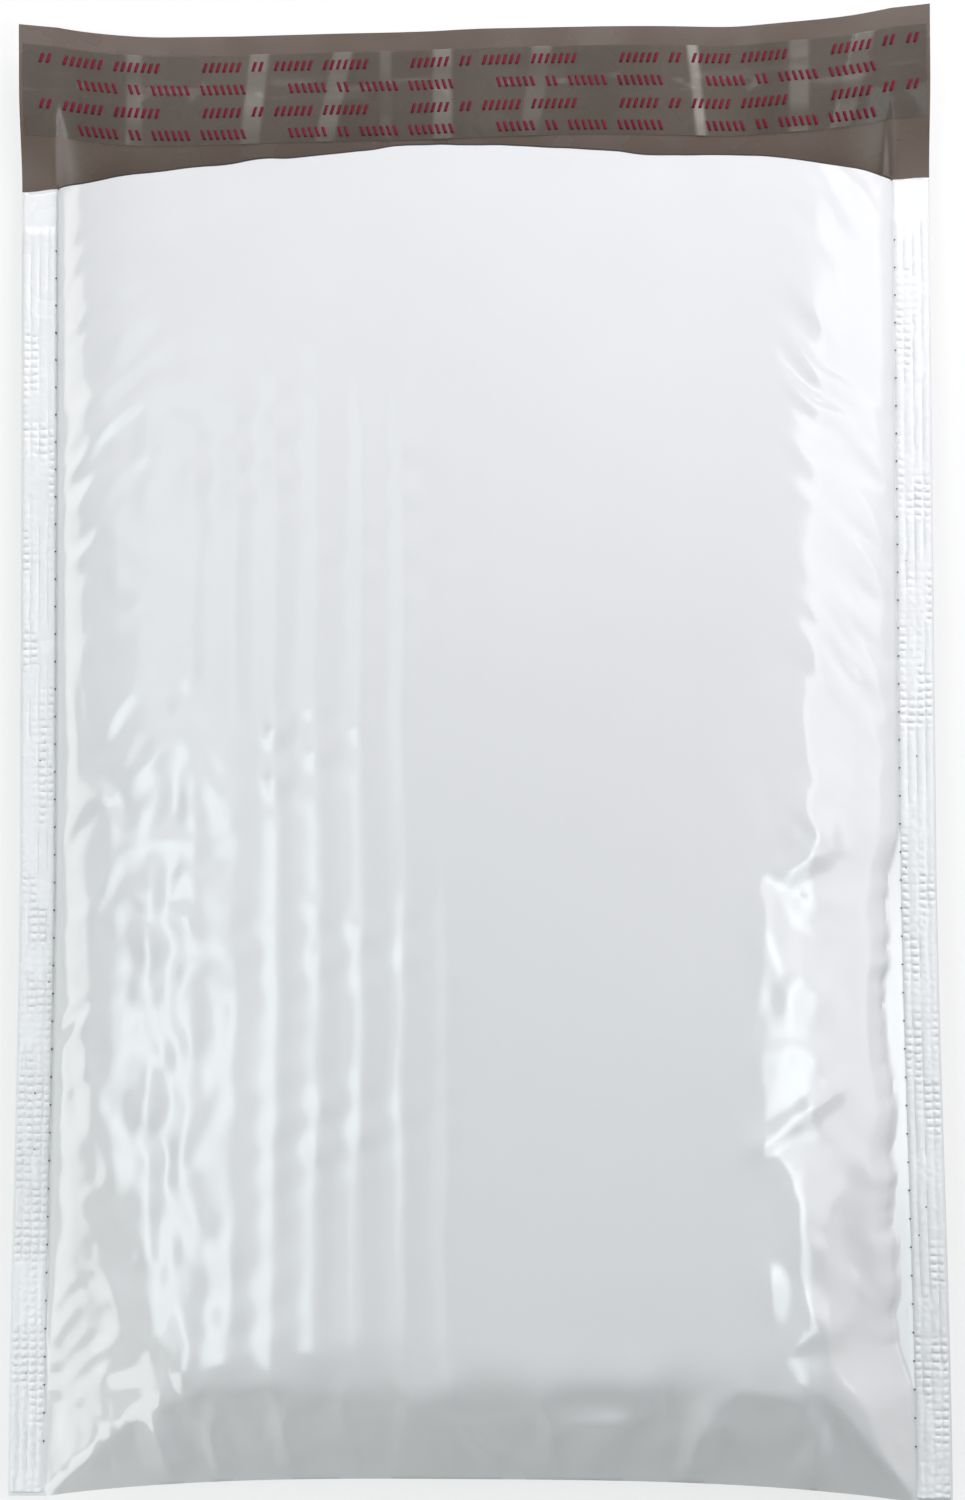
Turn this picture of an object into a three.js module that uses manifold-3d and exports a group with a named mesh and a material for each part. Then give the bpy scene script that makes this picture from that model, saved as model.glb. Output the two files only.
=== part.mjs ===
// Padded envelope: a white film bag lined with bubble sheet, empty, lying on its back with its mouth open.
// Millimetres, +Z up. X runs across the bag, +Y from the bottom fold to the closing lip.
// The origin is the centre of the overall outline, on the level that the bag lies on.
import * as THREE from "three";
import { mergeVertices } from "three/addons/utils/BufferGeometryUtils.js";
import Module from "manifold-3d";

// Flat sizes
const BAG_WIDTH = 241; // over both side seals
const POCKET_DEPTH = 338; // from the bottom fold to the end of the side seals
const LIP_HEIGHT = 44; // the back panel beyond the side seals
const SEAL_WIDTH = 9.5;

// Sheets
const FILM = 0.4;
const SEAL_THICKNESS = 1; // both films and the crushed lining, welded
const BUBBLE_PITCH = 12.7; // the bubbles stand in a triangular pattern
const BUBBLE_HEIGHT = 3;
const LINING_BASE = 1; // the flat side of the bubble sheet
const LINING_PLAY = 0.6; // between the bubbles and the film
const LINING_SETBACK = 3; // the lining stops short of the mouth

// Form of the bag at rest
const SEAM_LEVEL_BOTTOM = 11; // height of the side seals above the ground beside the bottom fold
const SEAM_LEVEL_MOUTH = 6.5;
const TOP_LEVEL_BOTTOM = 28; // height of the front panel above the ground at the bottom end
const TOP_LEVEL_MOUTH = 18.5;
const SIDE_SLOPE = 28; // the panels leave the side seals over this width
const END_SLOPE = 30; // and leave the bottom fold over this length
const HIP_BLEND = 0.12; // how softly the side and bottom slopes meet in the corner creases
const SIDE_PINCH = 2.5; // the swell of the bag draws each side in by this much
const PINCH_LENGTH = 170; // over this length from the bottom fold
const FOLD_LIFT = 5; // the bottom fold draws up between its corners
const FOLD_BOW = 3; // a higher power keeps the lift closer to the corners
const MOUTH_ARCH = 7.7; // the front edge arches up between its corners
const MOUTH_BOW = 1.35; // a power near 1 brings the arch to a point
const COLUMN_RELIEF = 0.4; // the bubbles print through the front panel as long ribs

// Closing lip, a single layer of film
const LIP_FILM = 0.3;
const LIP_ROOT = 6; // the lip is part of the back panel from this far inside the mouth
const LIP_CURL = 10; // height of the lip's outer corners
const LIP_SAG = 2; // the lip's edge draws down between its corners
const ADHESIVE_EDGES = [13.5, 27.5]; // distances from the lip's edge
const ADHESIVE_THICKNESS = 0.3;
const LINER_EDGES = [5, 28.5];
const LINER_THICKNESS = 0.25;
const STRIP_GAP = 0.3; // clearance between stacked strips
const STRIP_INDENT = 1; // the strips stop just inside the lip's sides

// Mesh steps
const SLOPE_STEPS = 5;
const FOLD_STEPS = 6;
const PANEL_STEP = 20;
const BACK_STEP = 45;
const SEAM_HALF_GAP = 0.15; // inner skins keep this distance from the middle of a seam
const PAST_MOUTH = 5; // cutting bodies run out through the mouth

const TOTAL_LENGTH = POCKET_DEPTH + LIP_HEIGHT;
const BOTTOM_Y = -TOTAL_LENGTH / 2;
const SEAL_END_Y = BOTTOM_Y + POCKET_DEPTH;
const LIP_TOP_Y = TOTAL_LENGTH / 2;
const COLUMN_PITCH = BUBBLE_PITCH * Math.sin(Math.PI / 3);
const LINING_INSET = FILM + LINING_PLAY;
const POCKET_INSET = LINING_INSET + BUBBLE_HEIGHT + LINING_BASE;

const { clamp, lerp, smoothstep } = THREE.MathUtils;

const counted = (count, make) => Array.from({ length: count }, (_, k) => make(k));

// Outline of the bag, seen from above

const halfWidth = (y) =>
  BAG_WIDTH / 2 - SIDE_PINCH * smoothstep(y, BOTTOM_Y, BOTTOM_Y + PINCH_LENGTH);

const pocketHalfWidth = (y) => halfWidth(y) - SEAL_WIDTH;

const across = (x, y) => clamp(Math.abs(x) / pocketHalfWidth(y), 0, 1);

const foldLine = (x) => BOTTOM_Y + FOLD_LIFT * (1 - across(x, BOTTOM_Y) ** FOLD_BOW);

const mouthLine = (x) => SEAL_END_Y + MOUTH_ARCH * (1 - across(x, SEAL_END_Y) ** MOUTH_BOW);

const lipLine = (x) => LIP_TOP_Y - LIP_SAG * (1 - across(x, LIP_TOP_Y) ** 2);

// Form of the bag: two panels that swell away from the side seals and the bottom fold.
// A skin with an inset is the same form, made smaller all round by that thickness.

const sideProfile = (t) => Math.sqrt(1 - (1 - clamp(t, 0, 1)) ** 2);

const foldProfile = (t) => Math.sin((clamp(t, 0, 1) * Math.PI) / 2);

function softMin(a, b) {
  const near = Math.max(HIP_BLEND - Math.abs(a - b), 0) / HIP_BLEND;
  const dip = HIP_BLEND / 4;
  return Math.max(0, Math.min(a, b) - near * near * dip) / (1 - dip);
}

// 0 along the seals and the fold, 1 on the open panel
function rise(x, y, inset) {
  const fromSide = (pocketHalfWidth(y) - inset - Math.abs(x)) / (SIDE_SLOPE - inset);
  const fromFold = (y - foldLine(x) - inset) / (END_SLOPE - inset);
  return softMin(sideProfile(fromSide), foldProfile(fromFold));
}

const towardMouth = (y) => clamp((y - BOTTOM_Y) / POCKET_DEPTH, 0, 1);

const seamLevel = (y) => lerp(SEAM_LEVEL_BOTTOM, SEAM_LEVEL_MOUTH, towardMouth(y));

const topLevel = (y) => lerp(TOP_LEVEL_BOTTOM, TOP_LEVEL_MOUTH, towardMouth(y));

const seamHalf = (inset) => (inset > 0 ? SEAM_HALF_GAP : SEAL_THICKNESS / 2);

const frontLevel = (x, y, inset) =>
  lerp(seamLevel(y) + seamHalf(inset), topLevel(y) - inset, rise(x, y, inset));

const pocketBackLevel = (x, y, inset) =>
  lerp(seamLevel(y) - seamHalf(inset), inset, rise(x, y, inset));

// The back panel goes on past the mouth as the lip, which lies down again and curls up at its corners.
function backLevel(x, y, inset) {
  if (y <= SEAL_END_Y) return pocketBackLevel(x, y, inset);
  const curled = inset + LIP_CURL * (Math.abs(x) / halfWidth(y)) ** 4;
  const out = smoothstep(y, SEAL_END_Y, LIP_TOP_Y);
  return lerp(pocketBackLevel(x, SEAL_END_Y, inset), curled, out);
}

function ribbedFrontLevel(x, y) {
  const rib = 0.5 + 0.5 * Math.cos((2 * Math.PI * x) / COLUMN_PITCH);
  return frontLevel(x, y, 0) + COLUMN_RELIEF * rib * smoothstep(rise(x, y, 0), 0.6, 1);
}

// 1 on top of each bubble, 0 between three of them
function bubble(x, y) {
  const turn = (2 * Math.PI * y) / BUBBLE_PITCH;
  const column = Math.PI * (x / COLUMN_PITCH);
  const wave = Math.cos(2 * column) + 2 * Math.cos(column) * Math.cos(turn);
  return (wave / 3 + 0.5) / 1.5;
}

// Bubbles are crushed toward the seams and the fold.
const bubbleDip = (x, y) =>
  BUBBLE_HEIGHT * (1 - bubble(x, y)) * smoothstep(rise(x, y, LINING_INSET), 0.6, 0.95);

// Lines across and along the bag, which cross in the points of each skin

// Each line along the bag gives x for a y, from the left side to the right.
const mirrored = (lines) => [...lines.map((line) => (y) => -line(y)), ...lines.toReversed()];

const sealEdges = [halfWidth];

const slopeLines = (inset) =>
  counted(SLOPE_STEPS + 1, (k) => (y) =>
    pocketHalfWidth(y) - inset - (1 - Math.cos(((k / SLOPE_STEPS) * Math.PI) / 2)) * (SIDE_SLOPE - inset),
  );

const panelLines = (pitch) => {
  const reach = Math.floor((pocketHalfWidth(SEAL_END_Y) - SIDE_SLOPE - pitch / 2) / pitch);
  return counted(2 * reach + 1, (k) => () => (k - reach) * pitch);
};

function linesAcross(outer, inner) {
  const sides = mirrored(outer);
  return [...sides.slice(0, outer.length), ...inner, ...sides.slice(outer.length)];
}

// Each line across the bag gives y for an x, from the bottom fold to the mouth.
const foldLines = (inset) =>
  counted(FOLD_STEPS + 1, (k) => (x) =>
    foldLine(x) + inset + (k / FOLD_STEPS) * (END_SLOPE - inset),
  );

function linesToward(end, inset, step) {
  const start = foldLines(inset);
  const count = Math.round((POCKET_DEPTH - END_SLOPE) / step);
  return [
    ...start,
    ...counted(count, (k) => (x) => lerp(start.at(-1)(x), end(x), (k + 1) / count)),
  ];
}

const pastMouth = (x) => mouthLine(x) + PAST_MOUTH;

const lipRoot = () => SEAL_END_Y - LIP_ROOT;

const fromLipEdge = (distance) => (x) => lipLine(x) - distance;

function crossing(lineAlong, lineAcross) {
  const y = lineAcross(lineAlong(SEAL_END_Y));
  return [lineAlong(y), lineAcross(lineAlong(y))];
}

const grid = (linesAlong, acrossLines) =>
  acrossLines.map((lineAcross) => linesAlong.map((lineAlong) => crossing(lineAlong, lineAcross)));

const skin = (rows, level) => rows.map((row) => row.map(([x, y]) => new THREE.Vector3(x, y, level(x, y))));

// Solids

const wasm = await Module();
wasm.setup();

// Triangles between two lines of points, each time to the next point that comes first along the axis
function ladder(points, near, far, axis) {
  const triangles = [];
  let n = 0;
  let f = 0;
  while (n < near.length - 1 || f < far.length - 1) {
    const nextNear = points[near[n + 1]]?.[axis] ?? Infinity;
    const nextFar = points[far[f + 1]]?.[axis] ?? Infinity;
    if (nextNear <= nextFar) triangles.push([near[n], near[++n], far[f]]);
    else triangles.push([far[f + 1], far[f++], near[n]]);
  }
  return triangles;
}

// A closed body between an upper and a lower skin that follow the same outline
function bodyBetween(upperSkin, lowerSkin) {
  const points = [];
  const numbered = (rows) => rows.map((row) => row.map((point) => points.push(point) - 1));
  const upper = numbered(upperSkin);
  const lower = numbered(lowerSkin);
  const side = (rows, at) => rows.map((row) => row.at(at));
  const strips = (rows) => rows.slice(1).flatMap((row, r) => ladder(points, rows[r], row, "x"));
  const facing = [
    ...strips(upper),
    ...ladder(points, lower[0], upper[0], "x"),
    ...ladder(points, side(lower, -1), side(upper, -1), "y"),
  ];
  const opposite = [
    ...strips(lower),
    ...ladder(points, lower.at(-1), upper.at(-1), "x"),
    ...ladder(points, side(lower, 0), side(upper, 0), "y"),
  ];
  const geometry = new THREE.BufferGeometry().setFromPoints(points);
  geometry.setIndex([...facing, ...opposite.map((corners) => corners.toReversed())].flat());
  const merged = mergeVertices(geometry, 1e-4);
  return new wasm.Manifold(
    new wasm.Mesh({
      numProp: 3,
      vertProperties: merged.attributes.position.array,
      triVerts: new Uint32Array(merged.index.array),
    }),
  );
}

function meshOf(name, solid, material) {
  const { vertProperties, triVerts } = solid.getMesh();
  const geometry = new THREE.BufferGeometry();
  geometry.setAttribute("position", new THREE.BufferAttribute(vertProperties, 3));
  geometry.setIndex(new THREE.BufferAttribute(triVerts, 1));
  const flat = geometry.toNonIndexed();
  flat.computeVertexNormals();
  const mesh = new THREE.Mesh(flat, material);
  mesh.name = name;
  return mesh;
}

// Bag film: front panel, bottom fold, back panel and lip in one web, welded to itself along both sides

const bagLines = (inner) => linesAcross([...sealEdges, ...slopeLines(0)], inner);

const centreLines = panelLines(4 * COLUMN_PITCH);

const backLines = bagLines(centreLines);

function filmShell() {
  const front = grid(bagLines(panelLines(COLUMN_PITCH / 2)), linesToward(mouthLine, 0, PANEL_STEP));
  const back = grid(backLines, [...linesToward(lipRoot, 0, BACK_STEP), mouthLine]);
  return bodyBetween(skin(front, ribbedFrontLevel), skin(back, (x, y) => backLevel(x, y, 0)));
}

function spaceInside(inset) {
  const lines = linesAcross(slopeLines(inset), centreLines);
  const rows = grid(lines, [...linesToward(lipRoot, inset, BACK_STEP), mouthLine, pastMouth]);
  const front = skin(rows, (x, y) => frontLevel(x, y, inset));
  return bodyBetween(front, skin(rows, (x, y) => backLevel(x, y, inset)));
}

// The lip's own thickness lies within the back panel's at its root, a little above its underside.
const lipUnderside = (x, y) => backLevel(x, y, 0) + (FILM - LIP_FILM) / 2;

const lipTop = (x, y) => lipUnderside(x, y) + LIP_FILM;

function lip() {
  const stations = [(LINER_EDGES[1] + LIP_HEIGHT) / 2, ...ADHESIVE_EDGES.toReversed(), LINER_EDGES[0], 0];
  const rows = grid(backLines, [lipRoot, mouthLine, ...stations.map(fromLipEdge)]);
  return bodyBetween(skin(rows, lipTop), skin(rows, lipUnderside));
}

const outerFilm = () => filmShell().subtract(spaceInside(FILM)).add(lip());

// Bubble lining: one folded sheet with its bubbles toward the film and its flat side toward the contents

const LATTICE_ROW = BUBBLE_PITCH / 2;
const LATTICE_COLUMN = (2 * COLUMN_PITCH) / 3;

const liningEnd = (x) => mouthLine(x) - LINING_SETBACK;

// Rows of points on the tops of the bubbles and in the dips between them
function bubbleRows() {
  const nose = foldLines(LINING_INSET).slice(0, -2);
  const start = Math.ceil((nose.at(-1)(0) + LATTICE_ROW / 2) / LATTICE_ROW);
  const end = Math.floor((SEAL_END_Y - LINING_SETBACK - LATTICE_ROW / 2) / LATTICE_ROW);
  const lattice = counted(end - start + 1, (k) => () => (start + k) * LATTICE_ROW);
  const edges = slopeLines(LINING_INSET).slice(0, 3);
  return [...nose, ...lattice, liningEnd].map((lineAcross, row) => {
    const parity = (row + start - nose.length) % 2 === 0 ? 0 : 0.5;
    const reach = Math.floor((edges.at(-1)(SEAL_END_Y) - LATTICE_COLUMN / 2) / LATTICE_COLUMN - parity);
    const count = 2 * reach + (parity ? 2 : 1);
    const inner = counted(count, (k) => () => (k - (count - 1) / 2) * LATTICE_COLUMN);
    return linesAcross(edges, inner).map((lineAlong) => crossing(lineAlong, lineAcross));
  });
}

function bubbleLining() {
  const rows = bubbleRows();
  const front = skin(rows, (x, y) => frontLevel(x, y, LINING_INSET) - bubbleDip(x, y));
  const back = skin(rows, (x, y) => backLevel(x, y, LINING_INSET) + bubbleDip(x, y));
  return bodyBetween(front, back).subtract(spaceInside(POCKET_INSET));
}

// Strips on the lip

const indented = (lines) => {
  const reach = (y) => halfWidth(y) - STRIP_INDENT;
  return lines.map((line) => (y) => clamp(line(y), -reach(y), reach(y)));
};

function strip(steps, thickness) {
  const rows = grid(indented(backLines), steps.map(([distance]) => fromLipEdge(distance)));
  const raised = rows.map((row, r) => row.map(([x, y]) => new THREE.Vector3(x, y, lipTop(x, y) + steps[r][1])));
  const top = raised.map((row) => row.map(({ x, y, z }) => new THREE.Vector3(x, y, z + thickness)));
  return bodyBetween(top, raised);
}

function adhesiveStrip() {
  const [outer, inner] = ADHESIVE_EDGES;
  return strip([[inner, STRIP_GAP], [outer, STRIP_GAP]], ADHESIVE_THICKNESS);
}

// The liner rides over the adhesive and lies down on the lip beyond it.
function releaseLiner() {
  const low = STRIP_GAP;
  const high = STRIP_GAP + ADHESIVE_THICKNESS + STRIP_GAP;
  const shoulderEdge = ADHESIVE_EDGES[0] - STRIP_GAP;
  return strip(
    [[LINER_EDGES[1], high], [shoulderEdge, high], [shoulderEdge - 1, low], [LINER_EDGES[0], low]],
    LINER_THICKNESS,
  );
}

// Materials

const material = (color, roughness, metalness = 0) =>
  new THREE.MeshStandardMaterial({ color, roughness, metalness });

const glossyFilm = material(0xf1f1ef, 0.22);
const clearBubble = material(0xd8dcdd, 0.3);
const adhesive = material(0xb9b0a2, 0.45);
const siliconePaper = material(0xcfc9c0, 0.35);

const envelope = new THREE.Group();
envelope.name = "padded_envelope";
envelope.add(
  meshOf("outer_film", outerFilm(), glossyFilm),
  meshOf("bubble_lining", bubbleLining(), clearBubble),
  meshOf("adhesive_strip", adhesiveStrip(), adhesive),
  meshOf("release_liner", releaseLiner(), siliconePaper),
);

export default envelope;
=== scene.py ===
import math

import bpy
import numpy as np
from mathutils import Matrix, Vector


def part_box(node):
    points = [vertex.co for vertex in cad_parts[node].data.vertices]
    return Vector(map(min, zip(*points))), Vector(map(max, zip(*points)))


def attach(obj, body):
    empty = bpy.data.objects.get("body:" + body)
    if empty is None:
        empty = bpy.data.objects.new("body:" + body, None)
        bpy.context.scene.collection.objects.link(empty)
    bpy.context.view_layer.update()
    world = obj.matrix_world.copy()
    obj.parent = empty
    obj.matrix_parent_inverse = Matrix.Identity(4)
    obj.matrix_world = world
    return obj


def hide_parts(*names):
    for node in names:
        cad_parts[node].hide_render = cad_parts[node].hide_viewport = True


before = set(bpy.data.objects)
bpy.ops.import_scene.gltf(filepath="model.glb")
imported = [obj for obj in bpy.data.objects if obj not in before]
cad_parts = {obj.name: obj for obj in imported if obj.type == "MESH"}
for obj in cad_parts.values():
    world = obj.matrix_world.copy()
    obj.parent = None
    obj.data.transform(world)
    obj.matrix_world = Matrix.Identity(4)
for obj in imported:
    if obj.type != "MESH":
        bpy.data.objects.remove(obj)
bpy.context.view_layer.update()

# Sizes and places are in millimetres, except those of the stage and its lamps, which are in metres.
# The mesh of every piece is turned into metres as it is made.
MM = 0.001

film_low, film_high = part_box("outer_film")

BAG_WIDTH = (film_high.x - film_low.x) / MM
TOTAL_LENGTH = (film_high.y - film_low.y) / MM
LIP_HEIGHT = 44
POCKET_DEPTH = TOTAL_LENGTH - LIP_HEIGHT
SEAL_WIDTH = 9.5
FILM = 0.25  # thickness of the bag film
SEAL_HALF = 0.3  # half the thickness of a weld

# Form of the bag, close to that of the solid that it stands for
SEAM_LEVEL = (11, 6.5)  # height of the welds beside the bottom fold and at the mouth
TOP_LEVEL = (28, 18.5)  # height of the front panel at the same two places
SIDE_SLOPE = 28  # width of the slopes beside the seals
CORNER_SLOPE = (44, 24)  # width of the left and right side slopes beside the bottom fold
CORNER_FADE = (15, 95)  # distances from the fold between which one gives way to the other
END_SLOPE = 37  # length of the slope above the bottom fold
HIP_BLEND = 0.1  # how softly the side slopes meet the end slope
FULLNESS = 1.06  # the middle of the front panel stands a little over its level
SWELL = 0.42  # share by which the front panel is lower beside the seals than in the middle
SIDE_PINCH = 2.5  # by which each side is drawn in at the mouth
PINCH_LENGTH = 170
FOLD_LIFT = 5
FOLD_BOW = 3
MOUTH_ARCH = 7.7
MOUTH_BOW = 1.35
MOUTH_BUMPS = ((1, 78, 14), (-0.8, 35, 25))  # height, place and width
RIGHT_LEDGE = 4.2  # width of the flat strip of slack film beside the right seal
LEDGE_REACH = (-158, -28, 9)  # start, end and soft ends along the bag
LIP_CURL = 10
LIP_CURL_LENGTH = 26
LIP_SAG = 2
LIP_SAG_BOW = 6
LIP_BUMPS = ((-0.4, -85, 30), (0.9, 24, 28), (-0.5, 68, 10))
STRIP_INDENT = 1  # between the ends of the liner and the sides of the lip

# Bubble sheet
BUBBLE_PITCH = 12.7
BUBBLE_RADIUS = 4.75
BUBBLE_HEIGHT = 3
COLUMN_PITCH = BUBBLE_PITCH * math.sin(math.pi / 3)
COLUMN_PLACE = 5.4  # place of one column across the bag
LINING_INSET = 1.6
LINING_BASE = 1
LINING_SETBACK = 3
LINING_HALF = 0.15  # half the gap between its two layers where they run into the weld
LINING_DROP = (2.6, 0.7)  # by which it keeps under the front film, beside the fold and on the panel
LINING_DROP_FADE = (24, 46)

BOTTOM_Y = -TOTAL_LENGTH / 2
SEAL_END_Y = BOTTOM_Y + POCKET_DEPTH
LIP_TOP_Y = TOTAL_LENGTH / 2


# Camera: nearly straight down on the bag, from the place that its outline in the photograph gives
CAMERA_PLACE = (28.6, -14.9, 650)
CAMERA_TURN = (1.32, 2.37, -0.24)
CAMERA_LENS = 59.8


def aim_camera():
    bpy.ops.object.camera_add(
        location=[c * MM for c in CAMERA_PLACE],
        rotation=[math.radians(t) for t in CAMERA_TURN],
    )
    camera = bpy.context.object
    camera.data.lens = CAMERA_LENS
    bpy.context.scene.camera = camera


aim_camera()


# Small tools for forms and relief


def clamp(value, low, high):
    return np.minimum(np.maximum(value, low), high)


def lerp(a, b, share):
    return a + (b - a) * share


def smooth(value, start, end):
    t = clamp((value - start) / (end - start), 0, 1)
    return t * t * (3 - 2 * t)


def bell(value, centre, width):
    return np.exp(-(((value - centre) / width) ** 2))


def bumps(value, table):
    """Sum of soft bumps, each with its height, place and width."""
    return sum(height * bell(value, place, width) for height, place, width in table)


def window(value, start, end, soft):
    return smooth(value, start - soft, start + soft) * (1 - smooth(value, end - soft, end + soft))


def noise(u, v, seed):
    """Smooth noise from -1 to 1, with one lattice cell to each unit of u and v."""
    size = 64
    table = np.random.RandomState(seed).uniform(-1, 1, (size, size))
    iu, iv = np.floor(u).astype(int), np.floor(v).astype(int)
    fu, fv = u - iu, v - iv
    fu = fu * fu * fu * (fu * (fu * 6 - 15) + 10)
    fv = fv * fv * fv * (fv * (fv * 6 - 15) + 10)

    def corner(a, b):
        return table[(iu + a) % size, (iv + b) % size]

    near = lerp(corner(0, 0), corner(1, 0), fu)
    far = lerp(corner(0, 1), corner(1, 1), fu)
    return lerp(near, far, fv)


def layered(u, v, seed, layers=3):
    return sum(noise(u * 2**k, v * 2**k, seed + k) / 2**k for k in range(layers))


def ridged(u, v, seed):
    """Noise with sharp crests, as in crumpled film."""
    return 1 - 2 * np.abs(noise(u, v, seed))


# Form: two panels that swell away from the side seals and the bottom fold


def half_width(y):
    return BAG_WIDTH / 2 - SIDE_PINCH * smooth(y, BOTTOM_Y, BOTTOM_Y + PINCH_LENGTH)


def pocket_half_width(y):
    return half_width(y) - SEAL_WIDTH


def across(x, y):
    return clamp(np.abs(x) / pocket_half_width(y), 0, 1)


def round_slope(t):
    """Rise of a swollen slope, steep beside the seal and level at the panel."""
    return np.sqrt(1 - (1 - clamp(t, 0, 1)) ** 2)


def even_slope(t):
    """Rise of a slope that is nearly straight at its foot."""
    return np.sin(clamp(t, 0, 1) * math.pi / 2)


def soft_min(a, b):
    near = np.maximum(HIP_BLEND - np.abs(a - b), 0) / HIP_BLEND
    dip = HIP_BLEND / 4
    return np.maximum(0, np.minimum(a, b) - near * near * dip) / (1 - dip)


def fold_line(x):
    return BOTTOM_Y + FOLD_LIFT * (1 - across(x, BOTTOM_Y) ** FOLD_BOW)


def mouth_line(x):
    arch = MOUTH_ARCH * (1 - across(x, SEAL_END_Y) ** MOUTH_BOW)
    slack = bumps(x, MOUTH_BUMPS) + 0.4 * noise(x / 9, x * 0, 71)
    return SEAL_END_Y + arch + slack


def lip_line(x):
    sag = LIP_SAG * (1 - across(x, LIP_TOP_Y) ** LIP_SAG_BOW) + 1.1 * smooth(-x, 40, 105)
    return LIP_TOP_Y - sag + bumps(x, LIP_BUMPS)


def ledge(x, y):
    """The flat strip beside the right seal; only its inner edge is uneven."""
    inward = pocket_half_width(y) - np.abs(x)
    uneven = 1.1 * noise(y / 6, y * 0, 46) + 0.5 * noise(y / 2.6, y * 0, 47)
    uneven = uneven * (1 - smooth(inward, 4.5, 12))
    return (x > 0) * (RIGHT_LEDGE + uneven) * window(y, *LEDGE_REACH)


def rise(x, y, inset=0):
    """0 along the seals and the fold, 1 on the open panel; the corners beside the fold are slacker."""
    slack = 1 - smooth(y - BOTTOM_Y, *CORNER_FADE)
    width = lerp(SIDE_SLOPE, np.where(x < 0, *CORNER_SLOPE), slack) - inset
    from_side = (pocket_half_width(y) - inset - ledge(x, y) - np.abs(x)) / width
    from_fold = (y - fold_line(x) - inset) / (END_SLOPE - inset)
    side = lerp(round_slope(from_side), even_slope(from_side), slack)
    return soft_min(side, even_slope(from_fold))


def toward_mouth(y):
    return clamp((y - BOTTOM_Y) / POCKET_DEPTH, 0, 1)


def seam_level(y):
    return lerp(*SEAM_LEVEL, toward_mouth(y))


def top_level(y):
    return lerp(*TOP_LEVEL, toward_mouth(y))


def front_level(x, y, inset=0, half_gap=SEAL_HALF):
    swell = FULLNESS - SWELL * across(x, y) ** 2
    return lerp(seam_level(y) + half_gap, top_level(y) - inset, rise(x, y, inset) * swell)


def pocket_back_level(x, y, inset=0, half_gap=SEAL_HALF):
    return lerp(seam_level(y) - half_gap, inset, rise(x, y, inset))


def back_level(x, y, inset=0, half_gap=SEAL_HALF):
    """Level of the back panel, and of the lip beyond it, whose sides curl up."""
    inside = pocket_back_level(x, np.minimum(y, SEAL_END_Y), inset, half_gap)
    curled = inset + LIP_CURL * (np.abs(x) / half_width(y)) ** 4
    return lerp(inside, curled, smooth(y, SEAL_END_Y, SEAL_END_Y + LIP_CURL_LENGTH))


# Relief of the film, on top of that form. Inside noise and ridged, a place is divided by the size
# of the waves there. A reach is a start, an end and the half width of its soft ends.
RIB_BANDS = (  # height of the ribs, and their reach across the bag
    (0.11, -84, -14, 8),
    (0.1, -28, 4, 10),
    (0.02, 6, 85, 12),
)
BUBBLE_PRINT = 0.32
BUBBLE_REACH = (-95, -6, 12)  # across the bag
BUBBLE_REACH_ALONG = (-165, 90, 45)
LEFT_WAVES = 0.4
LEFT_REACH = (-105, -60, 8)
RIGHT_WAVES = 0.36
RIGHT_REACH = (68, 98, 6)
RIDGE_EDGE = (  # where the flat panel ends on the right: places along the bag and across it
    (-172, 76),
    (-152, 78),
    (-146, 83),
    (-112, 82),
    (-99, 73),
    (-62, 70),
    (-34, 71),
    (-27, 84),
    (60, 86),
    (130, 89),
)
RIDGE_START = 56
RIDGE_SLOPE = 0.085
RIDGE_FOOT = 97
SLANT_HEIGHT = 0.5  # a slanted fold in the film on the right
SLANT_START = (70, -98)
SLANT_LEAN = 0.62
SLANT_WIDTH = 3
SLANT_REACH = (68, 93, 5)
PUCKERS = (0.85, 0.2)  # height toward the mouth and toward the bottom fold
PUCKER_REACH = (3.5, 27, 7)  # inward from the seal
GATHERS = 0.2
LEDGE_SLOPE = 0.14
PLEATS = 1.6
PLEAT_REACH = (0.03, 0.5, 0.16)  # share of the way up the end slope
DENTS = 0.8
DENT_REACH = (0.4, 0.85, 0.25)
CREASES = 0.8
CREASE_REACH = (0.08, 0.75, 0.14)
CALM_HIPS = (-84, 88, 14)  # outside this reach the fold's relief is weak
HIP_FOOT_Y = -190
HIP_LENGTH = 27
HIP_PLACE = (109.5, 89)  # of the right hip's crease across the bag, at its foot and at its head
PANEL_SWELLS = 0.4
MOUTH_CREASE = -0.14
MOUTH_WAVES = 0.25
LIP_WAVES = 0.5
PRINT_THROUGH = 0.3


def bubble_pattern(x, y):
    """From -0.5 to 1, with a soft bump over every bubble."""
    turn = 2 * math.pi * y / BUBBLE_PITCH
    column = math.pi * (x - COLUMN_PLACE) / COLUMN_PITCH
    return (np.cos(2 * column) + 2 * np.cos(column) * np.cos(turn)) / 3


def column_relief(x, y):
    """Ribs where the film lies on the rows of bubbles, strongest left of the middle."""
    sway = 0.8 * noise(x / 40, y / 30, 11) + 0.6 * noise(x / 20, y / 9, 13)
    turn = 2 * math.pi * (x - COLUMN_PLACE + sway) / COLUMN_PITCH
    strength = sum(height * window(x, *reach) for height, *reach in RIB_BANDS)
    strength = strength * clamp(0.8 + 0.7 * noise(x / 12, y / 26, 12), 0.1, 1.4)
    return strength * (np.cos(turn) + 0.2 * np.cos(2 * turn)) * smooth(SEAL_END_Y - y, 5, 90)


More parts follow.
